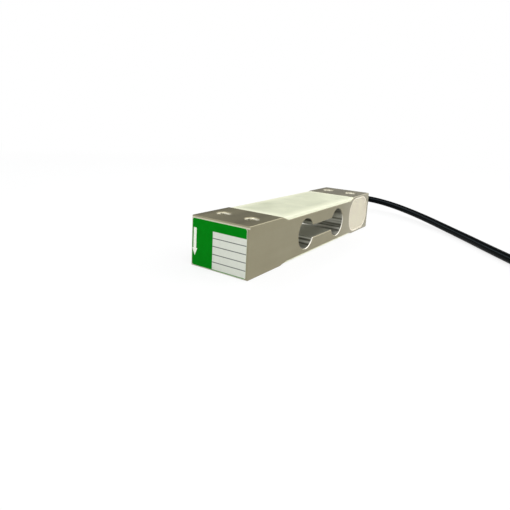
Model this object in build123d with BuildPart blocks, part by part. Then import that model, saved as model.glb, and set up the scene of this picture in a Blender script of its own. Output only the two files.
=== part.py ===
from build123d import *
from math import cos, pi, radians, sin, tan
import os

# A single-point load cell for weighing. It lies on its two bottom pads.
# X runs along the beam from the label end (-X) to the cable end (+X). The potted pocket is in the
# -Y side and the cable leaves through the +Y side. The origin is on the surface that the cell
# stands on, under the middle of the beam. All sizes are in millimetres.

# Beam
beam_length = 130.0
beam_width = 30.0
beam_height = 22.0
edge_break = 0.25

# Recesses for the strain gauges, across the beam between its two end blocks
block_length = 24.5
shoulder_run = 5.0
shoulder_blend = 4.0
top_recess_depth = 1.9
top_crest_radius = 0.4
bottom_recess_depth = 1.1
bottom_crest_radius = 4.0

# Flexure: two bores joined by a slot, which leave four thin walls under the gauges
bore_wall = 2.0
bore_spacing = 35.6
slot_height = 6.4
bore_edge_break = 0.3

# Threaded mounting holes, cut at the thread's outer diameter
thread_diameter = 6.0
hole_end_distance = 12.0
hole_row_spacing = 15.0
countersink_diameter = 7.0

# Pocket for the bridge's compensation parts
pocket_length = 28.0
pocket_end_rim = 2.0
pocket_rim = 0.9
pocket_depth = 3.5
pocket_corner = 9.0

# Cable hole, from the +Y side into the pocket
cable_hole_diameter = 5.4
cable_hole_end_distance = 5.0
cable_hole_edge_break = 0.5

# Wire passages, which slope from each recess into the pocket
passage_diameter = 1.8
passage_end_distance = 35.0
passage_slope = 45.0

# Silicone over the gauges and in the pocket
seat_gap = 0.02
top_coat_step = 0.15
bottom_coat_step = 0.35
coat_side_inset = 0.1
coat_edge_radius = 0.8
seal_step = 0.05
seal_rim = 0.6
seal_dish = 0.3
seal_taper = 45.0

# Foil strain gauges, one over each thin wall
gauge_length = 9.0
gauge_width = 6.2
film_thickness = 0.08
grid_length = 5.0
grid_width = 3.4
foil_thickness = 0.04
tab_length = 1.3
tab_width = 1.6
tab_height = 0.2
tab_margin = 0.8

# Gauge wires, gathered in one bundle for each recess
bundle_diameter = 0.4
bundle_bend = 1.0
bundle_side_step = 1.4
bundle_landing = 1.8
bundle_lift = 0.15

# Compensation board and its resistors
board_length = 12.0
board_height = 12.0
board_thickness = 0.8
board_corner = 0.6
board_end_distance = 12.5
resistor_length = 3.2
resistor_width = 1.6
resistor_height = 0.6
resistor_cap = 0.5
resistor_cap_step = 0.05
resistor_spacing = 3.4
coil_resistor_diameter = 1.2
coil_resistor_length = 5.0
spool_flange = 0.5
spool_step = 0.15

# Cable
cable_diameter = 4.5
core_diameter = 1.0
drain_diameter = 0.8
jacket_in_pocket = 0.4
jacket_straight = 14.5
cable_seal_depth = 9.0
cable_seal_recess = 0.8
cable_seal_gap = 0.1
core_row_pitch = 1.12
core_reach = 1.6
core_landing = 1.5
core_pad_pitch = 2.6
floor_gap = 0.02

# Label on the -X end
label_width = 28.5
label_height = 20.7
label_thickness = 0.1
label_corner = 1.0
label_shift_y = 0.35
label_shift_z = -0.3

# Route of the cable's free run, from its hole round the end of the beam to the coil
cable_route = [
    (60.05, 17.9, 10.98),
    (62.6, 29.8, 10.9),
    (70.2, 38.0, 10.6),
    (81.8, 41.7, 10.2),
    (95.6, 40.1, 9.8),
    (109.2, 32.6, 9.4),
    (119.8, 20.4, 9.0),
    (124.7, 5.3, 8.7),
    (122.4, -11.0, 7.4),
    (114.1, -27.6, 5.8),
    (101.8, -44.1, 4.3),
    (87.0, -59.8, 3.0),
    (70.8, -74.7, 2.4),
    (53.6, -88.2, 2.27),
    (37.6, -101.1, 2.27),
]

# Put-away coil at the end of the cable: one turn that winds inwards
coil_centre = (38.0, -133.5)
coil_start_radius = 26.0
coil_start_angle = 124.0
coil_turn = 336.0
coil_step = 24.0
coil_winding_step = 5.6

# Stripped cores beyond the jacket. Each leaves the jacket at an offset across (outwards) and up,
# turns on inside the coil through the same angles, and ends at its own radius.
lead_straight = 4.0
lead_angles = [125.0, 140.0, 157.0, 175.0, 194.0]
lead_shares = [0.2, 0.5, 0.8, 0.95, 1.0]
lead_heights = [0.85, 0.45, 0.1, 0.0, 0.0]
core_offset = 0.72
drain_offset = 1.75
lead_ends = {
    "lead_red": (core_offset, -core_offset, 19.4, core_diameter),
    "lead_black": (core_offset, core_offset, 17.0, core_diameter),
    "lead_green": (-core_offset, -core_offset, 14.6, core_diameter),
    "lead_white": (-core_offset, core_offset, 12.2, core_diameter),
    "shield_drain": (-drain_offset, 0.0, 9.8, drain_diameter),
}
lead_start_gap = 0.15
lead_closing = 0.9
lead_sag = 0.1
tip_diameter = 0.6
tip_length = 4.0

half_length = beam_length / 2
half_width = beam_width / 2
recess_half = half_length - block_length
top_floor = beam_height - top_recess_depth
bottom_floor = bottom_recess_depth
bore_z = (top_floor + bottom_floor) / 2
bore_diameter = top_floor - bottom_floor - 2 * bore_wall
hole_x = half_length - hole_end_distance
pocket_height = beam_height - 2 * pocket_rim
pocket_x = half_length - pocket_end_rim - pocket_length / 2
pocket_z = beam_height / 2
pocket_floor = -half_width + pocket_depth
pocket_radius = min(pocket_corner, 0.49 * pocket_height, 0.49 * pocket_length)
cable_x = half_length - cable_hole_end_distance
passage_x = half_length - passage_end_distance
passage_y = -half_width + pocket_depth / 2
passage_reach = pocket_x - pocket_length / 2 + pocket_radius / 2 - passage_x
board_x = half_length - board_end_distance - board_length / 2
board_face = pocket_floor - seat_gap - board_thickness
cable_rest = cable_diameter / 2 + floor_gap


def recess_outline(floor_z, open_z, reach, gap):
    """Side view of a recess: a floor with a blended, sloping shoulder at each end.
    reach is how far up its shoulders the outline goes, where 1 is the beam's own face."""
    floor_half = recess_half - shoulder_run
    top_x = floor_half + shoulder_run * reach
    top_z = floor_z + (open_z - floor_z) * reach
    with BuildSketch() as outline:
        with BuildLine():
            Polyline((-top_x, top_z), (-floor_half, floor_z), (floor_half, floor_z), (top_x, top_z))
            Line((top_x, top_z), (-top_x, top_z))
        make_face()
        corners = [v for v in outline.vertices() if abs(abs(v.X) - floor_half) < 0.01]
        fillet(corners, radius=shoulder_blend)
        if gap > 0:
            offset(amount=-gap, mode=Mode.REPLACE)
    return outline.sketch


def bend_radii(points):
    """Radius at each inner point: 0.45 of its shorter run over the tangent of half its turn."""
    radii = []
    for before, here, after in zip(points, points[1:], points[2:]):
        run_in = Vector(here) - Vector(before)
        run_out = Vector(after) - Vector(here)
        half_turn = radians(run_in.get_angle(run_out)) / 2
        radii.append(0.45 * min(run_in.length, run_out.length) / tan(half_turn))
    return radii


def wire_along(points, diameter, radii=None):
    """A round wire whose centre follows straight runs joined by tangent arcs."""
    with BuildPart() as wire:
        with BuildLine() as path:
            FilletPolyline(*points, radius=radii or bend_radii(points))
        with BuildSketch(Plane(origin=path.line @ 0, z_dir=path.line % 0)):
            Circle(diameter / 2)
        sweep()
    return wire.part


def report_cord(name, points, diameter, radii, solid):
    """Prints a cord's bend radii and how its volume compares with its section times its length."""
    with BuildLine() as path:
        FilletPolyline(*points, radius=radii)
    length = path.wire().length
    share = solid.volume / (length * pi * diameter**2 / 4)
    listed = ", ".join(f"{radius:.1f}" for radius in radii)
    print(f"{name}: {length:.1f} mm long, bend radii {listed}, volume over section x length {share:.4f}")


# Beam: the side profile carries both recesses, and the rest is cut into its extrusion
with BuildPart() as beam:
    with BuildSketch(Plane.XZ) as profile:
        with Locations((0, beam_height / 2)):
            Rectangle(beam_length, beam_height)
        add(recess_outline(top_floor, beam_height, 1.5, 0), mode=Mode.SUBTRACT)
        add(recess_outline(bottom_floor, 0, 1.5, 0), mode=Mode.SUBTRACT)
        crests = [v for v in profile.vertices() if abs(abs(v.X) - recess_half) < 0.01]
        fillet([v for v in crests if v.Y > pocket_z], radius=top_crest_radius)
        fillet([v for v in crests if v.Y < pocket_z], radius=bottom_crest_radius)
    extrude(amount=half_width, both=True)
    rims = [edge for face in beam.faces().filter_by(Axis.Y) for edge in face.edges()]
    ends = beam.faces().filter_by(Axis.X).sort_by(Axis.X)
    rims += [edge for face in (ends[0], ends[-1]) for edge in face.edges().filter_by(Axis.Y)]
    chamfer(rims, length=edge_break)

    # Flexure opening through both sides
    with BuildSketch(Plane.XZ.offset(-half_width)):
        with Locations((-bore_spacing / 2, bore_z), (bore_spacing / 2, bore_z)):
            Circle(bore_diameter / 2)
        with Locations((0, bore_z)):
            Rectangle(bore_spacing, slot_height)
    extrude(amount=beam_width, mode=Mode.SUBTRACT)
    for side in (-half_width, half_width):
        face = beam.faces().filter_by(Axis.Y).filter_by(lambda f: abs(f.center().Y - side) < 0.01)
        opening = [edge for f in face for wire in f.inner_wires() for edge in wire.edges()]
        chamfer(opening, length=bore_edge_break)

    # Threaded holes, two through each end block, countersunk at both faces
    for plane in (Plane.XY.offset(beam_height), Plane(origin=(0, 0, 0), x_dir=(1, 0, 0), z_dir=(0, 0, -1))):
        with Locations(plane):
            with GridLocations(2 * hole_x, hole_row_spacing, 2, 2):
                CounterSinkHole(thread_diameter / 2, countersink_diameter / 2, depth=beam_height)

    # Pocket in the -Y side
    with BuildSketch(Plane.XZ.offset(half_width)):
        with Locations((pocket_x, pocket_z)):
            RectangleRounded(pocket_length, pocket_height, pocket_radius)
    extrude(amount=-pocket_depth, mode=Mode.SUBTRACT)

    # Cable hole from the +Y side into the pocket
    with Locations(Plane(origin=(cable_x, half_width, pocket_z), z_dir=(0, 1, 0))):
        mouth_diameter = cable_hole_diameter + 2 * cable_hole_edge_break
        CounterSinkHole(cable_hole_diameter / 2, mouth_diameter / 2, depth=beam_width)

    # Wire passages from both recesses into the pocket
    for floor_z, down in ((top_floor, -1), (bottom_floor, 1)):
        slope = Vector(cos(radians(passage_slope)), 0, down * sin(radians(passage_slope)))
        start = Vector(passage_x, passage_y, floor_z) - slope * passage_diameter
        with BuildSketch(Plane(origin=start, z_dir=slope)):
            Circle(passage_diameter / 2)
        extrude(amount=passage_diameter + passage_reach / cos(radians(passage_slope)), mode=Mode.SUBTRACT)
beam.part.label = "beam"


def strain_gauge(x, floor_z, up, tab_side):
    """A foil gauge on a recess floor: film, grid foil and two solder tabs at one end."""
    film_plane = Plane(origin=(x, 0, floor_z + up * seat_gap), x_dir=(1, 0, 0), z_dir=(0, 0, up))
    foil_plane = film_plane.offset(film_thickness)
    tab_x = tab_side * (gauge_length - tab_length - tab_margin) / 2
    with BuildPart() as gauge:
        with BuildSketch(film_plane):
            Rectangle(gauge_length, gauge_width)
        extrude(amount=film_thickness)
        with BuildSketch(foil_plane):
            with Locations((-tab_side * tab_length / 2, 0)):
                Rectangle(grid_length, grid_width)
        extrude(amount=foil_thickness)
        with BuildSketch(foil_plane):
            with Locations((tab_x, 0)):
                with GridLocations(0, tab_width * 2, 1, 2):
                    Rectangle(tab_length, tab_width)
        extrude(amount=tab_height)
    return gauge


gauge_x = bore_spacing / 2
gauge_top_label_side = strain_gauge(-gauge_x, top_floor, 1, 1)
gauge_top_label_side.part.label = "strain_gauge_top_label_side"
gauge_top_cable_side = strain_gauge(gauge_x, top_floor, 1, -1)
gauge_top_cable_side.part.label = "strain_gauge_top_cable_side"
gauge_bottom_label_side = strain_gauge(-gauge_x, bottom_floor, -1, 1)
gauge_bottom_label_side.part.label = "strain_gauge_bottom_label_side"
gauge_bottom_cable_side = strain_gauge(gauge_x, bottom_floor, -1, -1)
gauge_bottom_cable_side.part.label = "strain_gauge_bottom_cable_side"


def bundle_route(floor_z, up):
    """Route of a recess's gauge wires: along the floor, down the passage and onto the board."""
    rest = bundle_lift + bundle_diameter / 2
    z = floor_z + up * rest
    film_end = gauge_x - gauge_length / 2
    side_y = -gauge_width / 2 - bundle_side_step
    mouth_x = passage_x - rest / tan(radians(passage_slope))
    board_left = board_x - board_length / 2
    pocket_left = pocket_x - pocket_length / 2 + bundle_landing
    rise = (pocket_left - mouth_x) * tan(radians(passage_slope))
    return [
        (-film_end + seat_gap, 0, z),
        (film_end - gauge_length / 2, 0, z),
        (film_end, side_y, z),
        (mouth_x, passage_y, z),
        (pocket_left, passage_y, z - up * rise),
        (board_left + bundle_landing, board_face - rest, z - up * rise),
    ]


gauge_wires_top = wire_along(bundle_route(top_floor, 1), bundle_diameter, [bundle_bend] * 4)
gauge_wires_top.label = "gauge_wires_top"
gauge_wires_bottom = wire_along(bundle_route(bottom_floor, -1), bundle_diameter, [bundle_bend] * 4)
gauge_wires_bottom.label = "gauge_wires_bottom"


def gauge_coat(floor_z, open_z, step, gauges, bundle):
    """Silicone that fills a recess over its gauges and wires, with rounded long edges."""
    depth = abs(open_z - floor_z)
    thickness = depth - step - 2 * seat_gap
    half_span = half_width - coat_side_inset
    section_plane = Plane(origin=(0, 0, floor_z), x_dir=(0, 1, 0), z_dir=(1, 0, 0))
    with BuildPart() as coat:
        with BuildSketch(Plane.XZ):
            add(recess_outline(floor_z, open_z, 1, seat_gap))
        extrude(amount=half_span, both=True)
        with BuildSketch(section_plane) as section:
            with Locations((0, 0)):
                Rectangle(2 * half_span, 2 * (thickness + seat_gap))
            fillet(section.vertices(), radius=min(coat_edge_radius, 0.8 * thickness))
        extrude(amount=half_length, both=True, mode=Mode.INTERSECT)
        for gauge in gauges:
            with Locations(gauge.part.center(CenterOf.BOUNDING_BOX)):
                size = gauge.part.bounding_box().size + Vector(1, 1, 1) * 2 * seat_gap
                Box(size.X, size.Y, size.Z, mode=Mode.SUBTRACT)
        add(bundle, mode=Mode.SUBTRACT)
    return coat


top_gauges = (gauge_top_label_side, gauge_top_cable_side)
gauge_coat_top = gauge_coat(top_floor, beam_height, top_coat_step, top_gauges, gauge_wires_top)
gauge_coat_top.part.label = "gauge_coat_top"
bottom_gauges = (gauge_bottom_label_side, gauge_bottom_cable_side)
gauge_coat_bottom = gauge_coat(bottom_floor, 0, bottom_coat_step, bottom_gauges, gauge_wires_bottom)
gauge_coat_bottom.part.label = "gauge_coat_bottom"

# Compensation board on the pocket's floor
with BuildPart() as compensation_board:
    with BuildSketch(Plane.XZ.offset(-(pocket_floor - seat_gap))):
        with Locations((board_x, pocket_z)):
            RectangleRounded(board_length, board_height, board_corner)
    extrude(amount=board_thickness)
compensation_board.part.label = "compensation_board"


def chip_resistor(row):
    """A chip resistor on the board, with a raised metal cap at each end."""
    z = pocket_z + row * resistor_spacing
    with BuildPart() as chip:
        with BuildSketch(Plane.XZ.offset(-board_face)):
            with Locations((board_x, z)):
                Rectangle(resistor_length - 2 * resistor_cap, resistor_width)
        extrude(amount=resistor_height)
        with BuildSketch(Plane.XZ.offset(-board_face)):
            with Locations((board_x, z)):
                with GridLocations(resistor_length - resistor_cap, 0, 2, 1):
                    Rectangle(resistor_cap, resistor_width)
        extrude(amount=resistor_height + resistor_cap_step)
    return chip


zero_balance_resistor = chip_resistor(1)
zero_balance_resistor.part.label = "zero_balance_resistor"
span_resistor = chip_resistor(0)
span_resistor.part.label = "span_resistor"

# Temperature resistor: a wound spool that lies along the board
with BuildPart() as temperature_resistor:
    spool_start = Vector(
        board_x - coil_resistor_length / 2,
        board_face - coil_resistor_diameter / 2 - seat_gap,
        pocket_z - resistor_spacing,
    )
    with BuildSketch(Plane(origin=spool_start, z_dir=(1, 0, 0))):
        Circle(coil_resistor_diameter / 2)
    extrude(amount=coil_resistor_length)
    with BuildSketch(Plane(origin=spool_start + Vector(spool_flange, 0, 0), z_dir=(1, 0, 0))):
        Circle(coil_resistor_diameter / 2)
        Circle(coil_resistor_diameter / 2 - spool_step, mode=Mode.SUBTRACT)
    extrude(amount=coil_resistor_length - 2 * spool_flange, mode=Mode.SUBTRACT)
temperature_resistor.part.label = "temperature_resistor"

# Cable: one jacket from inside the pocket to where the coil starts
jacket_end_y = pocket_floor - jacket_in_pocket
hole_run = [
    (cable_x, jacket_end_y, pocket_z),
    (cable_x, jacket_end_y + jacket_straight, pocket_z),
]


def coil_point(radius, angle, z):
    """A point of the put-away coil, by its radius and angle about the coil's centre."""
    return (
        coil_centre[0] + radius * cos(radians(angle)),
        coil_centre[1] + radius * sin(radians(angle)),
        z,
    )


coil_steps = round(coil_turn / coil_step)
coil_points = []
for step in range(coil_steps + 1):
    turned = step * coil_step
    radius = coil_start_radius - coil_winding_step * turned / 360
    coil_points.append(coil_point(radius, coil_start_angle + turned, cable_rest))
free_points = hole_run + cable_route
coil_entry = tuple((Vector(free_points[-1]) + Vector(coil_points[0])) / 2)
radii = bend_radii(free_points + coil_points)
free_radii = radii[: len(free_points) - 1]
coil_radii = radii[len(free_points) - 1 :]
cable = wire_along(free_points + [coil_entry], cable_diameter, free_radii)
cable.label = "cable"
cable_coil = wire_along([coil_entry] + coil_points, cable_diameter, coil_radii)
cable_coil.label = "cable_coil"

# Seal between the jacket and its hole
with BuildPart() as cable_hole_seal:
    with BuildSketch(Plane.XZ.offset(-(half_width - cable_seal_recess))):
        with Locations((cable_x, pocket_z)):
            Circle(cable_hole_diameter / 2 - seat_gap)
            Circle(cable_diameter / 2 + cable_seal_gap, mode=Mode.SUBTRACT)
    extrude(amount=cable_seal_depth)
cable_hole_seal.part.label = "cable_hole_seal"


def inner_core(row):
    """A core inside the pocket: out of the jacket, round and onto its pad on the board."""
    start_z = pocket_z + row * core_row_pitch
    turn_y = jacket_end_y - seat_gap - core_reach
    return wire_along(
        [
            (cable_x, jacket_end_y - seat_gap, start_z),
            (cable_x, turn_y, start_z),
            (
                board_x + board_length / 2 - core_landing,
                board_face - core_diameter / 2 - seat_gap,
                pocket_z + row * core_pad_pitch,
            ),
        ],
        core_diameter,
    )


inner_cores = {}
for colour, row in (("red", 1.5), ("black", 0.5), ("green", -0.5), ("white", -1.5)):
    inner_cores[colour] = inner_core(row)
    inner_cores[colour].label = f"inner_core_{colour}"

# Silicone that pots the pocket round everything in it, with a raised rim round its face
with BuildPart() as pocket_seal:
    with BuildSketch(Plane.XZ.offset(-(pocket_floor - seat_gap))):
        with Locations((pocket_x, pocket_z)):
            RectangleRounded(pocket_length, pocket_height, pocket_radius)
        offset(amount=-seat_gap, mode=Mode.REPLACE)
    extrude(amount=pocket_depth - seat_gap - seal_step)
    with BuildSketch(Plane.XZ.offset(half_width - seal_step)):
        with Locations((pocket_x, pocket_z)):
            RectangleRounded(pocket_length, pocket_height, pocket_radius)
        offset(amount=-seal_rim, mode=Mode.REPLACE)
    extrude(amount=-seal_dish, taper=seal_taper, mode=Mode.SUBTRACT)
    for potted in (compensation_board, zero_balance_resistor, span_resistor, temperature_resistor):
        add(potted.part, mode=Mode.SUBTRACT)
    for potted in (gauge_wires_top, gauge_wires_bottom, cable, *inner_cores.values()):
        add(potted, mode=Mode.SUBTRACT)
pocket_seal.part.label = "pocket_seal"


def lead_points(across, up, end_radius, diameter):
    """Route of a stripped core from the jacket's end to where it lies inside the coil."""
    end = Vector(coil_points[-1])
    forward = (end - Vector(coil_points[-2])).normalized()
    outward = forward.cross(Vector(0, 0, 1))
    rest = diameter / 2 + floor_gap
    start = end + forward * lead_start_gap + outward * across + Vector(0, 0, up)
    straight = end + forward * lead_straight + outward * across + Vector(0, 0, up * lead_closing - lead_sag)
    turn_radius = (straight - Vector(*coil_centre, straight.Z)).length
    points = [tuple(start), tuple(straight)]
    for angle, share, height in zip(lead_angles, lead_shares, lead_heights):
        radius = turn_radius + (end_radius - turn_radius) * share
        points.append(coil_point(radius, angle, rest + (straight.Z - rest) * height))
    return points


def stripped_lead(points, diameter):
    """A stripped core, with its strands bared and tinned over the last few millimetres."""
    with BuildPart() as lead:
        add(wire_along(points, diameter))
        with BuildSketch(Plane(origin=points[-1], z_dir=Vector(points[-1]) - Vector(points[-2]))):
            Circle(tip_diameter / 2)
        extrude(amount=tip_length)
    return lead.part


leads = {}
for name, (across, up, end_radius, diameter) in lead_ends.items():
    route = lead_points(across, up, end_radius, diameter)
    leads[name] = wire_along(route, diameter) if name == "shield_drain" else stripped_lead(route, diameter)
    leads[name].label = name

# Label on the end face
with BuildPart() as label:
    with BuildSketch(Plane(origin=(-half_length, 0, beam_height / 2), x_dir=(0, -1, 0), z_dir=(-1, 0, 0))):
        with Locations((-label_shift_y, label_shift_z)):
            RectangleRounded(label_width, label_height, label_corner)
    extrude(amount=label_thickness)
label.part.label = "label"

pieces = [
    beam.part, gauge_coat_top.part, gauge_coat_bottom.part, pocket_seal.part,
    gauge_top_label_side.part, gauge_top_cable_side.part,
    gauge_bottom_label_side.part, gauge_bottom_cable_side.part,
    gauge_wires_top, gauge_wires_bottom, compensation_board.part,
    zero_balance_resistor.part, span_resistor.part, temperature_resistor.part,
    cable_hole_seal.part, cable, cable_coil, label.part,
    *inner_cores.values(), *leads.values(),
]
os.makedirs("parts", exist_ok=True)
for piece in pieces:
    export_step(piece, f"parts/{piece.label}.step")

report_cord("cable", free_points + [coil_entry], cable_diameter, free_radii, cable)
report_cord("cable_coil", [coil_entry] + coil_points, cable_diameter, coil_radii, cable_coil)
for name, values in lead_ends.items():
    route = lead_points(*values)
    report_cord(name, route, values[-1], bend_radii(route), wire_along(route, values[-1]))
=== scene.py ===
import math

import bmesh
import bpy
from mathutils import Euler, Matrix, Vector


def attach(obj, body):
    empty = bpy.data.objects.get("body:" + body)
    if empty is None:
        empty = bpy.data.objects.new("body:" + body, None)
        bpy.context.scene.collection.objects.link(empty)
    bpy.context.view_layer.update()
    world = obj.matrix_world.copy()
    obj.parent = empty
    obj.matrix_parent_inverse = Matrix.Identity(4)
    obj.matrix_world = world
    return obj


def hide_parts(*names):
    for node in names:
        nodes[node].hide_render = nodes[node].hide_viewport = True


# A single-point load cell for weighing, which lies on its two bottom pads. X runs along the beam
# from the label end (-X) to the cable end, the potted pocket is in the -Y side, the cable leaves by
# the +Y side and Z is up. Sizes are in millimetres, which MM turns into metres. Those of the floor,
# the lamps and the depth that light reaches in silicone are in metres.
MM = 0.001
UP = Vector((0, 0, 1))

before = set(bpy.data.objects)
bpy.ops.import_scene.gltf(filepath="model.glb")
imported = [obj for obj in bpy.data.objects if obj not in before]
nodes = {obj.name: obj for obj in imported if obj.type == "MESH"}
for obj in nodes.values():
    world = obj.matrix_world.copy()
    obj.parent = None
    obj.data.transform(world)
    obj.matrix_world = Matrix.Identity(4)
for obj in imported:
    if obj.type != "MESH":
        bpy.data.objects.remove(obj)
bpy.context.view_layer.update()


def add_object(name, data):
    """A new object in the scene."""
    made = bpy.data.objects.new(name, data)
    bpy.context.collection.objects.link(made)
    return made


# Camera, fitted to the photograph's viewing angle
camera_data = bpy.data.cameras.new("camera")
camera_data.sensor_width = 36.0
camera_data.lens = 29.603
camera_data.shift_x = -0.0229
camera_data.shift_y = -0.0967
camera_data.clip_start = 0.01
camera_data.clip_end = 20.0
camera = add_object("camera", camera_data)
camera.location = Vector((-192.712, -104.537, 59.956)) * MM
camera.rotation_euler = Euler([math.radians(a) for a in (79.315, -3.138, -56.525)], "XYZ")
bpy.context.scene.camera = camera
bpy.context.scene.view_settings.view_transform = "Standard"

# Cable, from the pocket through its hole and round the end of the beam
CABLE_DIAMETER = 4.5
CABLE_REST = 2.27
CABLE_ROUTE = [
    (60.0, -11.9, 11.0),
    (60.0, 2.6, 11.0),
    (60.05, 17.9, 10.98),
    (62.6, 29.8, 10.9),
    (70.2, 38.0, 10.6),
    (81.8, 41.7, 10.2),
    (95.6, 40.1, 9.8),
    (109.2, 32.6, 9.4),
    (119.8, 20.4, 9.0),
    (124.7, 5.3, 8.7),
    (122.4, -11.0, 7.4),
    (114.1, -27.6, 5.8),
    (101.8, -44.1, 4.3),
    (87.0, -59.8, 3.0),
    (70.8, -74.7, 2.4),
    (53.6, -88.2, 2.27),
    (37.6, -101.1, 2.27),
]

# Put-away coil at its end, of one turn that winds inwards. Angles are in degrees.
COIL_CENTRE = (38.0, -133.5)
COIL_RADIUS = 26.0
COIL_ANGLE = 124
COIL_STEP = 24
COIL_POINTS = 15
COIL_WINDING = 5.6

# Stripped leads beyond the jacket: how far each leaves it outwards and upwards, the radius that it
# ends at inside the coil, its diameter and its material slot
CORE_DIAMETER = 1.0
DRAIN_DIAMETER = 0.8
CORE_LEADS = ("lead_red", "lead_black", "lead_green", "lead_white")
LEADS = {
    "lead_red": (0.72, -0.72, 19.4, CORE_DIAMETER, "core_red"),
    "lead_black": (0.72, 0.72, 17.0, CORE_DIAMETER, "core_black"),
    "lead_green": (-0.72, -0.72, 14.6, CORE_DIAMETER, "core_green"),
    "lead_white": (-0.72, 0.72, 12.2, CORE_DIAMETER, "core_white"),
    "shield_drain": (-1.75, 0.0, 9.8, DRAIN_DIAMETER, "tinned_copper"),
}
LEAD_GAP = 0.15
FLOOR_GAP = 0.02

# Each lead's first straight, over which it closes up to the others and sags
LEAD_STRAIGHT = 4.0
LEAD_CLOSING = 0.9
LEAD_SAG = 0.1

# Each lead's way inside the coil: angle, share of the way to its end radius, share of its height
LEAD_TURN = ((125, 0.2, 0.85), (140, 0.5, 0.45), (157, 0.8, 0.1), (175, 0.95, 0.0), (194, 1.0, 0.0))

# Bare tips of the leads
TIP_LENGTH = 4.2
TIP_OVERLAP = 0.3
STRAND_RADIUS = 0.095
STRAND_TWIST = 0.9
STRAND_STEPS = 14


def coil_point(radius, angle, z):
    """A point of the put-away coil, in millimetres."""
    turn = math.radians(angle)
    x, y = COIL_CENTRE
    return (x + radius * math.cos(turn), y + radius * math.sin(turn), z)


def curve_along(name, points, diameter, bevel_resolution):
    """A smooth round cord along its route's points, given in millimetres.

    Its half diameter is the points' radius on a bevel of one metre, because Blender adds
    the radius to the curve's box.
    """
    data = bpy.data.curves.new(name, "CURVE")
    data.dimensions = "3D"
    data.resolution_u = 10
    data.bevel_depth = 1.0
    data.bevel_resolution = bevel_resolution
    data.use_fill_caps = True
    spline = data.splines.new("NURBS")
    spline.points.add(len(points) - 1)
    for point, place in zip(spline.points, points):
        point.co = (place[0] * MM, place[1] * MM, place[2] * MM, 1.0)
        point.radius = diameter / 2 * MM
    spline.order_u = 3
    spline.use_endpoint_u = True
    return add_object(name, data)


coil = []
for i in range(COIL_POINTS):
    coil_radius = COIL_RADIUS - COIL_WINDING * COIL_STEP * i / 360
    coil.append(coil_point(coil_radius, COIL_ANGLE + COIL_STEP * i, CABLE_REST))
cable = curve_along("signal_cable", CABLE_ROUTE + coil, CABLE_DIAMETER, 10)
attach(cable, "root")
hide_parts("cable", "cable_coil")


def lead_points(across, up, end_radius, diameter):
    """Route of a stripped lead from the jacket's end to where it lies inside the coil."""
    end = Vector(coil[-1])
    forward = (end - Vector(coil[-2])).normalized()
    outward = forward.cross(UP)
    rest = diameter / 2 + FLOOR_GAP
    start = end + forward * LEAD_GAP + outward * across + Vector((0, 0, up))
    lowered = Vector((0, 0, up * LEAD_CLOSING - LEAD_SAG))
    straight = end + forward * LEAD_STRAIGHT + outward * across + lowered
    turn_radius = (straight - Vector((*COIL_CENTRE, straight.z))).length
    points = [tuple(start), tuple(straight)]
    for angle, share, height in LEAD_TURN:
        radius = turn_radius + (end_radius - turn_radius) * share
        points.append(coil_point(radius, angle, rest + (straight.z - rest) * height))
    return points


lead_routes = {}
leads = {}
for name, (across, up, end_radius, diameter, slot_name) in LEADS.items():
    lead_routes[name] = lead_points(across, up, end_radius, diameter)
    leads[name] = curve_along("stripped_" + name, lead_routes[name], diameter, 5)
    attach(leads[name], "root")
    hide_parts(name)


def mesh_piece(name, build):
    """A mesh piece that rides on the cell. build fills the bmesh it is given, in millimetres."""
    mesh = bmesh.new()
    build(mesh)
    bmesh.ops.recalc_face_normals(mesh, faces=mesh.faces)
    for vert in mesh.verts:
        vert.co *= MM
    data = bpy.data.meshes.new(name)
    mesh.to_mesh(data)
    mesh.free()
    for polygon in data.polygons:
        polygon.use_smooth = True
    piece = add_object(name, data)
    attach(piece, "root")
    return piece


def square_to(along):
    """Two directions square to each other and to the one given."""
    side = along.cross(UP).normalized()
    return side, side.cross(along)


def tube(mesh, centres, radius, sides):
    """Adds a closed round tube through the centres given."""
    rings = []
    for i, centre in enumerate(centres):
        before = centres[max(i - 1, 0)]
        after = centres[min(i + 1, len(centres) - 1)]
        side, over = square_to((after - before).normalized())
        ring = []
        for k in range(sides):
            a = 2 * math.pi * k / sides
            ring.append(mesh.verts.new(centre + (side * math.cos(a) + over * math.sin(a)) * radius))
        rings.append(ring)
    for lower, upper in zip(rings, rings[1:]):
        for k in range(sides):
            following = (k + 1) % sides
            mesh.faces.new((lower[k], lower[following], upper[following], upper[k]))
    mesh.faces.new(rings[0][::-1])
    mesh.faces.new(rings[-1])


def strands(start, along):
    """Seven tinned strands, six of them twisted round the seventh."""
    side, over = square_to(along)

    def build(mesh):
        for strand in range(7):
            lay_radius = 2 * STRAND_RADIUS if strand < 6 else 0.0
            centres = []
            for i in range(STRAND_STEPS + 1):
                share = i / STRAND_STEPS
                a = 2 * math.pi * (strand / 6 + share * STRAND_TWIST)
                offset = (side * math.cos(a) + over * math.sin(a)) * lay_radius
                centres.append(start + along * (share * TIP_LENGTH - TIP_OVERLAP) + offset)
            tube(mesh, centres, STRAND_RADIUS, 8)

    return build


tips = []
for name in CORE_LEADS:
    before, last = [Vector(point) for point in lead_routes[name][-2:]]
    along = (last - before).normalized()
    tips.append(mesh_piece(name + "_strands", strands(last, along)))

# Threads of the four mounting holes
HOLE_X = 53.0
HOLE_Y = 7.5


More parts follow.
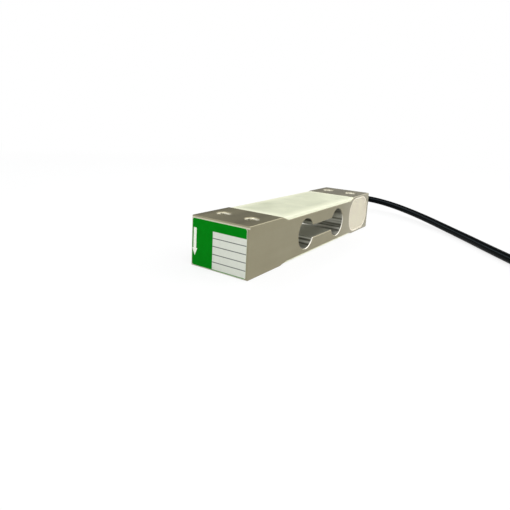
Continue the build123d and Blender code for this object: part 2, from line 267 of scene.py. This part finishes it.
def thread(x, y):
    """The ridge of an M6 thread, as one helical band against its hole's wall."""
    pitch, turns, steps = 1.0, 20.2, 32
    start = 0.9
    root, crest = 2.985, 2.5
    root_half, crest_half = 0.44, 0.07

    def build(mesh):
        rows = []
        count = int(turns * steps)
        for i in range(count + 1):
            a = 2 * math.pi * i / steps
            z = start + pitch * i / steps
            run_out = min(i, count - i) / (steps / 2)
            top = root + (crest - root) * min(1.0, run_out)
            row = []
            profile = ((root, -root_half), (top, -crest_half), (top, crest_half), (root, root_half))
            for radius, rise in profile:
                spot = (x + radius * math.cos(a), y + radius * math.sin(a), z + rise)
                row.append(mesh.verts.new(spot))
            rows.append(row)
        for lower, upper in zip(rows, rows[1:]):
            for k in range(3):
                mesh.faces.new((lower[k], upper[k], upper[k + 1], lower[k + 1]))

    return build


threads = []
for end_name, x in (("label_end", -HOLE_X), ("cable_end", HOLE_X)):
    for side_name, y in (("pocket_side", -HOLE_Y), ("cable_side", HOLE_Y)):
        name = f"thread_{end_name}_{side_name}"
        threads.append(mesh_piece(name, thread(x, y)))


class Tree:
    """A node tree with short ways to add and join nodes."""

    def __init__(self, tree):
        self.tree = tree

    def put(self, socket, value):
        """Joins a socket to another, or sets its plain value."""
        if isinstance(value, bpy.types.NodeSocket):
            self.tree.links.new(value, socket)
        elif value is not None:
            socket.default_value = value

    def add(self, kind, inputs=None, **settings):
        """A node, with its inputs by name."""
        node = self.tree.nodes.new(kind)
        for key, value in settings.items():
            setattr(node, key, value)
        for key, value in (inputs or {}).items():
            self.put(node.inputs[key], value)
        return node

    def math(self, operation, a, b=None):
        """A sum, product or test of one or two values."""
        node = self.add("ShaderNodeMath", operation=operation)
        for socket, value in zip(node.inputs, (a, b)):
            self.put(socket, value)
        return node.outputs[0]

    def where(self, *masks):
        """Mask of where all the masks given hold."""
        whole = masks[0]
        for mask in masks[1:]:
            whole = self.math("MULTIPLY", whole, mask)
        return whole

    def between(self, value, low, high):
        """Mask of where a value lies between two limits."""
        over = self.math("GREATER_THAN", value, low)
        return self.where(over, self.math("LESS_THAN", value, high))

    def vector(self, operation, a, b=None, result="Vector"):
        """A sum or product of vectors. Lengths and dot products are in the result "Value"."""
        node = self.add("ShaderNodeVectorMath", operation=operation)
        for socket, value in zip(node.inputs, (a, b)):
            self.put(socket, value)
        return node.outputs[result]

    def parts(self, vector):
        """A vector's X, Y and Z."""
        return self.add("ShaderNodeSeparateXYZ", {"Vector": vector}).outputs

    def normal(self):
        """Which way the surface faces."""
        return self.add("ShaderNodeNewGeometry").outputs["Normal"]

    def noise(self, vector, scale, detail=3.0, roughness=0.55):
        """Cloudy values between 0 and 1."""
        values = {"Vector": vector, "Scale": scale, "Detail": detail, "Roughness": roughness}
        return self.add("ShaderNodeTexNoise", values).outputs["Fac"]

    def spread(self, value, low, high, to_low=0.0, to_high=1.0, smooth=False):
        """A value between two limits, moved to lie between two others."""
        values = {
            "Value": value, "From Min": low, "From Max": high, "To Min": to_low, "To Max": to_high
        }
        kind = "SMOOTHSTEP" if smooth else "LINEAR"
        return self.add("ShaderNodeMapRange", values, interpolation_type=kind).outputs["Result"]

    def blend(self, mask, a, b):
        """Colour a where the mask is 0, colour b where it is 1.

        A Mix node's sockets share their names, so its factor and colours go by number.
        """
        node = self.add("ShaderNodeMix", data_type="RGBA")
        for number, value in ((0, mask), (6, a), (7, b)):
            self.put(node.inputs[number], value)
        return node.outputs[2]

    def bump(self, height, strength, distance):
        """A normal that follows a height."""
        values = {"Height": height, "Strength": strength, "Distance": distance}
        return self.add("ShaderNodeBump", values).outputs["Normal"]


FLOAT, COLOR, VECTOR = "NodeSocketFloat", "NodeSocketColor", "NodeSocketVector"


def group(name, inputs, outputs):
    """A shared effect: a node group with named inputs and outputs."""
    made = bpy.data.node_groups.new(name, "ShaderNodeTree")
    for label, kind, value in inputs:
        socket = made.interface.new_socket(name=label, in_out="INPUT", socket_type=kind)
        if value is not None:
            socket.default_value = value
    for label, kind in outputs:
        made.interface.new_socket(name=label, in_out="OUTPUT", socket_type=kind)
    tree = Tree(made)
    return made, tree, tree.add("NodeGroupInput").outputs, tree.add("NodeGroupOutput").inputs


def use(tree, made, **inputs):
    """Puts a shared effect into a tree, with its inputs by name."""
    node = tree.add("ShaderNodeGroup")
    node.node_tree = made
    for key, value in inputs.items():
        tree.put(node.inputs[key.replace("_", " ")], value)
    return node.outputs


def mottle_group():
    """Cloudy mix of two colours."""
    made, tree, given, out = group(
        "Mottle",
        [
            ("Vector", VECTOR, None),
            ("Scale", FLOAT, 60.0),
            ("Contrast", FLOAT, 0.3),
            ("Base", COLOR, (0.5, 0.5, 0.5, 1)),
            ("Second", COLOR, (0.6, 0.6, 0.6, 1)),
        ],
        [("Color", COLOR), ("Mask", FLOAT)],
    )
    clouds = tree.noise(given["Vector"], given["Scale"], 4.0, 0.6)
    low = tree.math("SUBTRACT", 0.5, given["Contrast"])
    high = tree.math("ADD", 0.5, given["Contrast"])
    mask = tree.spread(clouds, low, high)
    tree.put(out["Color"], tree.blend(mask, given["Base"], given["Second"]))
    tree.put(out["Mask"], mask)
    return made


def grain_group():
    """Fine parallel scratches, long in one direction."""
    made, tree, given, out = group(
        "Grain",
        [("Vector", VECTOR, None), ("Stretch", VECTOR, (40.0, 900.0, 900.0))],
        [("Height", FLOAT), ("Tone", FLOAT)],
    )
    stretched = tree.vector("MULTIPLY", given["Vector"], given["Stretch"])
    fine = tree.noise(stretched, 1.0, 2.0, 0.6)
    broad = tree.noise(stretched, 0.22, 2.0, 0.5)
    height = tree.math("ADD", tree.math("MULTIPLY", fine, 0.6), tree.math("MULTIPLY", broad, 0.4))
    tree.put(out["Height"], height)
    tree.put(out["Tone"], broad)
    return made


def edges_group():
    """Edges, where handling has polished them and where a painted highlight lightens them."""
    made, tree, given, out = group("Edges", [("Radius", FLOAT, 0.0005)], [("Mask", FLOAT)])
    rounded = tree.add("ShaderNodeBevel", {"Radius": given["Radius"]}, samples=6).outputs["Normal"]
    alike = tree.vector("DOT_PRODUCT", rounded, tree.normal(), result="Value")
    bend = tree.math("SUBTRACT", 1.0, alike)
    tree.put(out["Mask"], tree.spread(bend, 0.02, 0.22, smooth=True))
    return made


def print_box_group():
    """A printed box with rounded corners, in the label's plane."""
    made, tree, given, out = group(
        "Print box",
        [
            ("Vector", VECTOR, None),
            ("Centre", VECTOR, (0, 0, 0)),
            ("Half size", VECTOR, (0, 0.005, 0.005)),
            ("Corner", FLOAT, 0.0),
        ],
        [("Mask", FLOAT)],
    )
    away = tree.vector("SUBTRACT", given["Vector"], given["Centre"])
    flat = tree.vector("MULTIPLY", away, (0, 1, 1))
    corner_values = {"X": 0.0, "Y": given["Corner"], "Z": given["Corner"]}
    corner = tree.add("ShaderNodeCombineXYZ", corner_values).outputs[0]
    past_size = tree.vector("SUBTRACT", tree.vector("ABSOLUTE", flat), given["Half size"])
    past_corner = tree.vector("MAXIMUM", tree.vector("ADD", past_size, corner), (0, 0, 0))
    distance = tree.vector("LENGTH", past_corner, result="Value")
    past_edge = tree.math("SUBTRACT", distance, given["Corner"])
    tree.put(out["Mask"], tree.spread(past_edge, 0.0, 0.08 * MM, 1.0, 0.0, smooth=True))
    return made


def print_arrowhead_group():
    """A printed arrowhead that points down."""
    made, tree, given, out = group(
        "Print arrowhead",
        [
            ("Vector", VECTOR, None),
            ("Tip", VECTOR, (0, 0, 0)),
            ("Half width", FLOAT, 0.001),
            ("Height", FLOAT, 0.003),
        ],
        [("Mask", FLOAT)],
    )
    soft = 0.04 * MM
    away = tree.parts(tree.vector("SUBTRACT", given["Vector"], given["Tip"]))
    share = tree.math("DIVIDE", away["Z"], given["Height"])
    half_width = tree.math("MULTIPLY", share, given["Half width"])
    slack = tree.math("SUBTRACT", half_width, tree.math("ABSOLUTE", away["Y"]))
    over = tree.math("SUBTRACT", away["Z"], given["Height"])
    inside = tree.spread(slack, -soft, soft)
    below = tree.spread(over, -soft, soft, 1.0, 0.0)
    tree.put(out["Mask"], tree.where(inside, below))
    return made


mottle = mottle_group()
grain = grain_group()
edges = edges_group()
print_box = print_box_group()
print_arrowhead = print_arrowhead_group()


def material(name):
    """A new material with its tree, its shader's inputs and the piece's own coordinates."""
    made = bpy.data.materials.new(name)
    made.use_nodes = True
    tree = Tree(made.node_tree)
    shader = made.node_tree.nodes["Principled BSDF"].inputs
    place = tree.add("ShaderNodeTexCoord").outputs["Object"]
    return made, tree, shader, place


def srgb(*levels):
    """A colour given as the 0 to 255 levels of a picture."""
    shares = [level / 255 for level in levels]
    linear = [((v + 0.055) / 1.055) ** 2.4 if v > 0.04045 else v / 12.92 for v in shares]
    return (*linear, 1.0)


# Where the look of the beam's metal changes. The line of painted highlight is on the end face, just
# over the label.
BORE_X = 17.8
BORE_Z = 11.0
BORE_EDGE_RADIUS = 8.2
FLEXURE_HALF_LENGTH = 25.6
FLEXURE_BOTTOM = 2.9
FLEXURE_TOP = 18.3
SLOT_HALF_LENGTH = 11.2
HOLE_REACH = 3.15
HIGHLIGHT_LINE_BOTTOM = 20.8
HIGHLIGHT_LINE_TOP = 21.45


def bore_colour(tree, place, at, facing):
    """Turning marks in the bores, painted shade in the upper part of the bore toward the cable end,
    and a plainer slot between them.
    """
    stretched = tree.vector("MULTIPLY", place, (180.0, 25.0, 1000.0))
    bands = tree.spread(tree.noise(stretched, 1.0, 1.0), 0.38, 0.60)
    striped = tree.blend(bands, (0.22, 0.22, 0.18, 1), (0.88, 0.88, 0.80, 1))
    # Painted shade: the upper part of the bore toward the cable end is darkened.
    upper = tree.spread(at["Z"], 12.5 * MM, 15.0 * MM, 0.0, 0.6, smooth=True)
    painted_shade = tree.where(upper, tree.math("GREATER_THAN", at["X"], 0.0))
    striped = tree.blend(painted_shade, striped, (0.18, 0.165, 0.15, 1))
    in_slot = tree.where(
        tree.math("LESS_THAN", tree.math("ABSOLUTE", at["X"]), SLOT_HALF_LENGTH * MM),
        tree.math("GREATER_THAN", facing["Z"], 0.9),
    )
    return tree.blend(in_slot, striped, (0.60, 0.60, 0.52, 1))


def painted_bore_edge_highlight(tree, at, facing):
    """Mask of a painted highlight on the lower arc of each bore's broken edge, on its side toward
    the cable end.
    """
    bore_x = tree.math("MULTIPLY", tree.math("SIGN", at["X"]), BORE_X * MM)
    across = tree.math("SUBTRACT", at["X"], bore_x)
    above = tree.math("SUBTRACT", at["Z"], BORE_Z * MM)
    squares = [tree.math("MULTIPLY", part, part) for part in (across, above)]
    from_axis = tree.math("SQRT", tree.math("ADD", *squares))
    lower = tree.math(
        "SUBTRACT", tree.math("MULTIPLY", across, 0.8), tree.math("MULTIPLY", above, 0.6)
    )
    return tree.where(
        tree.between(facing["Y"], 0.4, 0.95),
        tree.math("LESS_THAN", from_axis, BORE_EDGE_RADIUS * MM),
        tree.spread(lower, 3.0 * MM, 6.5 * MM, smooth=True),
    )


def machined_aluminium():
    """The beam: finely streaked outside, with polished edges, bright bores, holes brightened by
    painted light, painted highlights and shade, and painted light toward the cable end.
    """
    made, tree, shader, place = material("machined_aluminium")
    at = tree.parts(place)
    facing = tree.parts(tree.vector("ABSOLUTE", tree.normal()))

    # Outside, paler toward the cable end, where painted light stands in for the brighter light
    # there
    streaks = use(tree, grain, Vector=place, Stretch=(55.0, 900.0, 900.0))
    tone = use(
        tree, mottle, Vector=place, Scale=55.0, Contrast=0.22,
        Base=(0.288, 0.262, 0.172, 1), Second=(0.322, 0.296, 0.198, 1),
    )
    streaked = tree.math("MULTIPLY", streaks["Tone"], 0.25)
    outside = tree.blend(streaked, tone["Color"], (0.25, 0.23, 0.155, 1))
    painted_light_to_cable_end = tree.spread(at["X"], 10.0 * MM, 42.0 * MM, 0.0, 0.65, smooth=True)
    outside = tree.blend(painted_light_to_cable_end, outside, (0.42, 0.395, 0.31, 1))

    # Its edges, worn and lightened by a painted highlight, the painted highlight on the bores'
    # broken edges, and the painted highlight line over the label
    wear_and_edge_highlight = use(tree, edges, Radius=0.3 * MM)["Mask"]
    outside = tree.blend(wear_and_edge_highlight, outside, (0.40, 0.38, 0.29, 1))
    # Painted highlight on the lower arc of each bore's broken edge.
    outside = tree.blend(painted_bore_edge_highlight(tree, at, facing), outside, (0.72, 0.70, 0.62, 1))
    # Painted highlight: a lighter line along the end face's top edge, over the label.
    painted_highlight_over_label = tree.where(
        tree.between(at["Z"], HIGHLIGHT_LINE_BOTTOM * MM, HIGHLIGHT_LINE_TOP * MM),
        tree.math("GREATER_THAN", facing["X"], 0.7),
        tree.math("LESS_THAN", at["X"], 0.0),
    )
    outside = tree.blend(painted_highlight_over_label, outside, (0.60, 0.57, 0.44, 1))

    # Inside the flexure and the mounting holes, whose lighter colour is painted light
    in_flexure = tree.where(
        tree.math("LESS_THAN", tree.math("ABSOLUTE", at["X"]), FLEXURE_HALF_LENGTH * MM),
        tree.between(at["Z"], FLEXURE_BOTTOM * MM, FLEXURE_TOP * MM),
        tree.math("LESS_THAN", facing["Y"], 0.4),
    )
    flat = tree.vector("MULTIPLY", tree.vector("ABSOLUTE", place), (1, 1, 0))
    from_hole = tree.vector("SUBTRACT", flat, (HOLE_X * MM, HOLE_Y * MM, 0.0))
    hole_distance = tree.vector("LENGTH", from_hole, result="Value")
    # Painted light: the mounting holes' walls are made lighter, as if lit from above.
    painted_light_in_hole = tree.where(
        tree.math("LESS_THAN", hole_distance, HOLE_REACH * MM),
        tree.math("LESS_THAN", facing["Z"], 0.95),
    )
    colour = tree.blend(in_flexure, outside, bore_colour(tree, place, at, facing))
    tree.put(shader["Base Color"], tree.blend(painted_light_in_hole, colour, (0.66, 0.64, 0.53, 1)))

    shader["Metallic"].default_value = 1.0
    rough = tree.spread(streaks["Tone"], 0.3, 0.7, 0.40, 0.50)
    smoother = tree.math("MULTIPLY", wear_and_edge_highlight, 0.12)
    tree.put(shader["Roughness"], tree.math("SUBTRACT", rough, smoother))
    tree.put(shader["Normal"], tree.bump(streaks["Height"], 0.12, 0.2 * MM))
    return made


def thread_aluminium():
    """The bright flanks of the threads."""
    made, tree, shader, place = material("thread_aluminium")
    tone = use(
        tree, mottle, Vector=place, Scale=900.0, Contrast=0.25,
        Base=(0.50, 0.48, 0.40, 1), Second=(0.74, 0.72, 0.61, 1),
    )
    tree.put(shader["Base Color"], tone["Color"])
    shader["Metallic"].default_value = 1.0
    tree.put(shader["Roughness"], tree.spread(tone["Mask"], 0.0, 1.0, 0.26, 0.38))
    return made


def white_silicone():
    """Clouded silicone, with painted light on its rims and toward the cable end."""
    made, tree, shader, place = material("silicone")
    from_middle = tree.parts(tree.vector("ABSOLUTE", place))
    along_beam = tree.parts(place)["X"]
    # Painted light makes the rims and the part toward the cable end lighter.
    side_rim = tree.spread(from_middle["Y"], 8.5 * MM, 14.5 * MM, smooth=True)
    end_rim = tree.spread(from_middle["X"], 33.0 * MM, 39.5 * MM, smooth=True)
    painted_light_toward_cable_end = tree.spread(along_beam, 12.0 * MM, 36.0 * MM, 0.0, 0.55, smooth=True)
    lighter = tree.math("MAXIMUM", tree.math("MAXIMUM", side_rim, end_rim), painted_light_toward_cable_end)
    tone = use(
        tree, mottle, Vector=place, Scale=42.0, Contrast=0.2,
        Base=srgb(192, 196, 170), Second=srgb(224, 226, 200),
    )
    fine = use(
        tree, mottle, Vector=place, Scale=190.0, Contrast=0.25,
        Base=tone["Color"], Second=srgb(216, 218, 191),
    )
    clouded = tree.blend(tree.math("MULTIPLY", fine["Mask"], 0.3), tone["Color"], fine["Color"])
    colour = tree.blend(tree.math("MULTIPLY", lighter, 0.75), clouded, srgb(238, 239, 213))
    tree.put(shader["Base Color"], colour)
    tree.put(shader["Roughness"], tree.spread(tone["Mask"], 0.0, 1.0, 0.50, 0.60))
    shader["Subsurface Weight"].default_value = 0.08
    shader["Subsurface Radius"].default_value = (0.002, 0.002, 0.0015)
    shader["Specular IOR Level"].default_value = 0.22
    tree.put(shader["Normal"], tree.bump(tree.noise(place, 120.0, 3.0), 0.10, 0.6 * MM))
    return made


def potting_silicone():
    """The pocket's warmer silicone, with a painted highlight on the rim that stands out of its
    dish.
    """
    made, tree, shader, place = material("potting_silicone")
    # Painted highlight: the rim that stands out of the dish gets a lighter colour.
    painted_rim_highlight = tree.math("LESS_THAN", tree.parts(place)["Y"], -14.8 * MM)
    tone = use(
        tree, mottle, Vector=place, Scale=90.0, Contrast=0.2,
        Base=srgb(202, 193, 175), Second=srgb(209, 204, 179),
    )
    tree.put(shader["Base Color"], tree.blend(painted_rim_highlight, tone["Color"], srgb(230, 223, 204)))
    tree.put(shader["Roughness"], tree.spread(tone["Mask"], 0.0, 1.0, 0.40, 0.52))
    shader["Subsurface Weight"].default_value = 0.08
    shader["Subsurface Radius"].default_value = (0.002, 0.0015, 0.0012)
    tree.put(shader["Normal"], tree.bump(tree.noise(place, 160.0, 3.0), 0.12, 0.6 * MM))
    return made


def gauge_foil():
    """Gauge film with the fine lines of its copper-coloured foil."""
    made, tree, shader, place = material("gauge_foil")
    values = {"Vector": place, "Scale": 900.0, "Distortion": 0.4}
    lines = tree.add("ShaderNodeTexWave", values, bands_direction="Y").outputs["Fac"]
    colour = tree.blend(lines, (0.50, 0.27, 0.09, 1), (0.62, 0.40, 0.20, 1))
    tree.put(shader["Base Color"], colour)
    tree.put(shader["Roughness"], tree.spread(lines, 0.0, 1.0, 0.30, 0.45))
    return made


def gritty(name, scale, first, second, roughness):
    """A fine-grained plastic or laminate of two colours, with its lowest and highest roughness."""
    made, tree, shader, place = material(name)
    grit = tree.noise(place, scale, 2.0)
    tree.put(shader["Base Color"], tree.blend(grit, first, second))
    tree.put(shader["Roughness"], tree.spread(grit, 0.3, 0.7, *roughness))
    return made


def wire(name, first, second, roughness, metallic=0.0, specular=0.5, highlight_line_colour=None):
    """Mottled covering of a wire or cable, with a painted highlight line along its upper side if
    asked.
    """
    made, tree, shader, place = material(name)
    tone = use(tree, mottle, Vector=place, Scale=450.0, Contrast=0.3, Base=first, Second=second)
    colour = tone["Color"]
    # Painted highlight: a lighter line where the surface faces partly upward.
    if highlight_line_colour:
        upward = tree.parts(tree.normal())["Z"]
        off_line = tree.math("ABSOLUTE", tree.math("SUBTRACT", upward, 0.52))
        on_line = tree.spread(off_line, 0.02, 0.20, 1.0, 0.0, smooth=True)
        colour = tree.blend(on_line, colour, highlight_line_colour)
    tree.put(shader["Base Color"], colour)
    rough = tree.spread(tone["Mask"], 0.0, 1.0, roughness, roughness + 0.12)
    tree.put(shader["Roughness"], rough)
    tree.put(shader["Normal"], tree.bump(tree.noise(place, 3000.0, 2.0), 0.08, 0.1 * MM))
    shader["Metallic"].default_value = metallic
    shader["Specular IOR Level"].default_value = specular
    return made


# Label print, in millimetres across and up
LABEL_CENTRE = (0.35, 10.70)
LABEL_PRINT_SIZE = (28.1, 20.3)
PANEL_X = -5.25
PANEL_CENTRE_Z = 8.78
PANEL_SIZE = (17.0, 15.94)
RULE_HEIGHTS = (14.0, 10.6, 7.2, 3.9)
RULE_SIZE = (17.0, 0.30)
ARROW_X = 13.0
SHAFT_CENTRE_Z = 12.2
SHAFT_SIZE = (1.5, 9.2)
ARROW_TIP_Z = 4.75
ARROWHEAD_HALF_WIDTH = 1.4
ARROWHEAD_HEIGHT = 3.25


def label_film():
    """The label's print: green ground, pale panel with four rules, and a pale arrow."""
    made, tree, shader, place = material("label_film")

    def printed(centre, size, corner=0.0):
        """Mask of a box on the label."""
        middle = (0.0, centre[0] * MM, centre[1] * MM)
        half = (0.0, size[0] / 2 * MM, size[1] / 2 * MM)
        box = use(
            tree, print_box, Vector=place, Centre=middle, Half_size=half, Corner=corner * MM
        )
        return box["Mask"]

    def ink(scale, first, second):
        """A slightly uneven printed colour."""
        tone = use(
            tree, mottle, Vector=place, Scale=scale, Contrast=0.3, Base=first, Second=second
        )
        return tone["Color"]

    green = ink(500.0, srgb(0, 122, 12), srgb(0, 132, 20))
    white = ink(700.0, srgb(217, 220, 209), srgb(225, 228, 217))
    ground = printed(LABEL_CENTRE, LABEL_PRINT_SIZE, 0.9)
    colour = tree.blend(ground, srgb(208, 214, 190), green)
    colour = tree.blend(printed((PANEL_X, PANEL_CENTRE_Z), PANEL_SIZE), colour, white)
    for rule_z in RULE_HEIGHTS:
        rule = tree.math("MULTIPLY", printed((PANEL_X, rule_z), RULE_SIZE), 0.9)
        colour = tree.blend(rule, colour, srgb(84, 92, 88))
    shaft = printed((ARROW_X, SHAFT_CENTRE_Z), SHAFT_SIZE)
    head = use(
        tree, print_arrowhead, Vector=place, Tip=(0.0, ARROW_X * MM, ARROW_TIP_Z * MM),
        Half_width=ARROWHEAD_HALF_WIDTH * MM, Height=ARROWHEAD_HEIGHT * MM,
    )
    arrow = tree.math("MAXIMUM", shaft, head["Mask"])
    tree.put(shader["Base Color"], tree.blend(arrow, colour, srgb(246, 250, 236)))
    rough = tree.spread(tree.noise(place, 600.0, 2.0), 0.3, 0.7, 0.38, 0.50)
    tree.put(shader["Roughness"], rough)
    shader["Specular IOR Level"].default_value = 0.02
    tree.put(shader["Normal"], tree.bump(tree.noise(place, 250.0, 2.0), 0.05, 0.3 * MM))
    return made


def dress(piece, look):
    """Gives a piece or a CAD node its material, through its own slots."""
    if not piece.material_slots:
        piece.data.materials.append(look)
    for piece_slot in piece.material_slots:
        piece_slot.link = "OBJECT"
        piece_slot.material = look


silicone = white_silicone()
resistor = gritty(
    "resistor", 2500.0, (0.02, 0.02, 0.022, 1), (0.06, 0.06, 0.065, 1), roughness=(0.25, 0.40)
)
laminate = gritty(
    "board_laminate", 1800.0, (0.02, 0.16, 0.06, 1), (0.05, 0.28, 0.10, 1), roughness=(0.30, 0.42)
)
foil = gauge_foil()
# The jacket's lighter line along its upper side is a painted highlight.
jacket = wire(
    "cable_jacket_rubber", (0.0008, 0.0015, 0.002, 1), (0.0018, 0.0028, 0.0034, 1), 0.20,
    specular=0.03, highlight_line_colour=(0.022, 0.028, 0.032, 1),
)
enamel = wire("wire_enamel_copper", (0.42, 0.13, 0.04, 1), (0.55, 0.20, 0.07, 1), 0.25)
tinned = wire("tinned_strands", (0.66, 0.65, 0.62, 1), (0.80, 0.79, 0.76, 1), 0.22, metallic=1.0)

# Vinyl of the four cores, each mottled with two close tones
CORE_COLOURS = {
    "core_red": ((0.55, 0.02, 0.02, 1), (0.68, 0.04, 0.03, 1)),
    "core_black": ((0.014, 0.014, 0.015, 1), (0.026, 0.026, 0.027, 1)),
    "core_green": ((0.01, 0.28, 0.06, 1), (0.03, 0.38, 0.10, 1)),
    "core_white": ((0.78, 0.78, 0.76, 1), (0.86, 0.86, 0.84, 1)),
}
core_looks = {"tinned_copper": tinned}
for slot_name, (first, second) in CORE_COLOURS.items():
    core_looks[slot_name] = wire(slot_name + "_vinyl", first, second, 0.38)

dress(nodes["beam"], machined_aluminium())
dress(nodes["pocket_seal"], potting_silicone())
dress(nodes["compensation_board"], laminate)
dress(nodes["label"], label_film())
for name in ("gauge_coat_top", "gauge_coat_bottom", "cable_hole_seal"):
    dress(nodes[name], silicone)
for name in ("gauge_wires_top", "gauge_wires_bottom", "temperature_resistor"):
    dress(nodes[name], enamel)
for name in ("zero_balance_resistor", "span_resistor"):
    dress(nodes[name], resistor)
for name in nodes:
    if name.startswith("strain_gauge"):
        dress(nodes[name], foil)
    if name.startswith("inner_core"):
        dress(nodes[name], core_looks["core_" + name.split("_")[-1]])

dress(cable, jacket)
for name, lead in leads.items():
    dress(lead, core_looks[LEADS[name][-1]])
for piece in tips:
    dress(piece, tinned)
thread_metal = thread_aluminium()
for piece in threads:
    dress(piece, thread_metal)

# Floor, just under the cell's pads
FLOOR_HALF = 3.0
FLOOR_Z = -0.00005


def paper_floor():
    """Pale paper that takes soft shadows and fades to white away from the cell."""
    made, tree, shader, place = material("paper_floor")
    shader["Base Color"].default_value = (0.95, 0.95, 0.95, 1)
    shader["Roughness"].default_value = 0.9
    shader["Specular IOR Level"].default_value = 0.1
    paper = made.node_tree.nodes["Principled BSDF"].outputs[0]
    glow_values = {"Color": (1, 1, 1, 1), "Strength": 1.0}
    glow = tree.add("ShaderNodeEmission", glow_values).outputs[0]
    ray = tree.add("ShaderNodeLightPath").outputs
    mirrored = tree.math("MAXIMUM", ray["Is Camera Ray"], ray["Is Glossy Ray"])
    seen = tree.math("MAXIMUM", mirrored, ray["Is Transmission Ray"])
    distance = tree.vector("LENGTH", place, result="Value")
    far = tree.spread(distance, 0.25, 0.7, 0.78, 1.0, smooth=True)
    share = tree.math("MULTIPLY", seen, far)
    mixed = tree.add("ShaderNodeMixShader", {0: share, 1: paper, 2: glow}).outputs[0]
    tree.put(made.node_tree.nodes["Material Output"].inputs["Surface"], mixed)
    return made


floor_mesh = bpy.data.meshes.new("floor")
floor_corners = [
    (x * FLOOR_HALF, y * FLOOR_HALF, FLOOR_Z) for x, y in ((-1, -1), (1, -1), (1, 1), (-1, 1))
]
floor_mesh.from_pydata(floor_corners, [], [(0, 1, 2, 3)])
floor = add_object("floor", floor_mesh)
dress(floor, paper_floor())

# World: white to the camera, a studio to plain surfaces, and a dark card on white to glossy ones
CARD_DIRECTION = Vector((0.62, 0.58, 0.45)).normalized()

world = bpy.data.worlds.new("studio")
world.use_nodes = True
bpy.context.scene.world = world
sky = Tree(world.node_tree)
direction = sky.add("ShaderNodeTexCoord").outputs["Generated"]
height = sky.spread(sky.parts(direction)["Z"], 0.0, 0.75, smooth=True)
studio = sky.blend(height, (0.48, 0.47, 0.45, 1), (0.62, 0.63, 0.64, 1))
toward_card = sky.vector("DOT_PRODUCT", direction, CARD_DIRECTION, result="Value")
card = sky.spread(toward_card, 0.76, 0.97, smooth=True)
reflected = sky.blend(card, (1, 1, 1, 1), (0.15, 0.15, 0.14, 1))
sky_ray = sky.add("ShaderNodeLightPath").outputs
glossy = sky.math("MAXIMUM", sky_ray["Is Glossy Ray"], sky_ray["Is Transmission Ray"])
lighting = sky.blend(glossy, studio, reflected)
shown = sky.blend(sky_ray["Is Camera Ray"], lighting, (1, 1, 1, 1))
sky.put(world.node_tree.nodes["Background"].inputs["Color"], shown)


def lamp(name, place, target, size, energy):
    """A square soft lamp, placed and aimed in metres."""
    data = bpy.data.lights.new(name, "AREA")
    data.size = size
    data.energy = energy
    light = add_object(name, data)
    light.location = place
    aim = Vector(target) - Vector(place)
    light.rotation_euler = aim.to_track_quat("-Z", "Y").to_euler()
    return light


lamp("key", (-0.35, -0.25, 0.75), (0, 0, 0.01), 0.6, 2.5)
lamp("fill", (0.1, -0.8, 0.45), (0, 0, 0.01), 0.7, 1.3)
lamp("side", (0.60, -0.42, 0.42), (0.05, 0.0, 0.01), 0.8, 2.7)

# A strip behind the cell, turned to lie along the cable, which draws a soft line on it
STRIP_TARGET = Vector((0.10, -0.04, 0.0))
STRIP_ALONG = Vector((0.94, 0.0, -0.35)).normalized()
strip = lamp("strip", (0.17, 0.43, 0.60), STRIP_TARGET, 0.40, 0.75)
strip.data.shape = "RECTANGLE"
strip.data.size_y = 0.07
back = strip.location - STRIP_TARGET
back = (back - STRIP_ALONG * back.dot(STRIP_ALONG)).normalized()
strip_axes = Matrix((STRIP_ALONG, back.cross(STRIP_ALONG), back)).transposed()
strip.rotation_euler = strip_axes.to_euler()
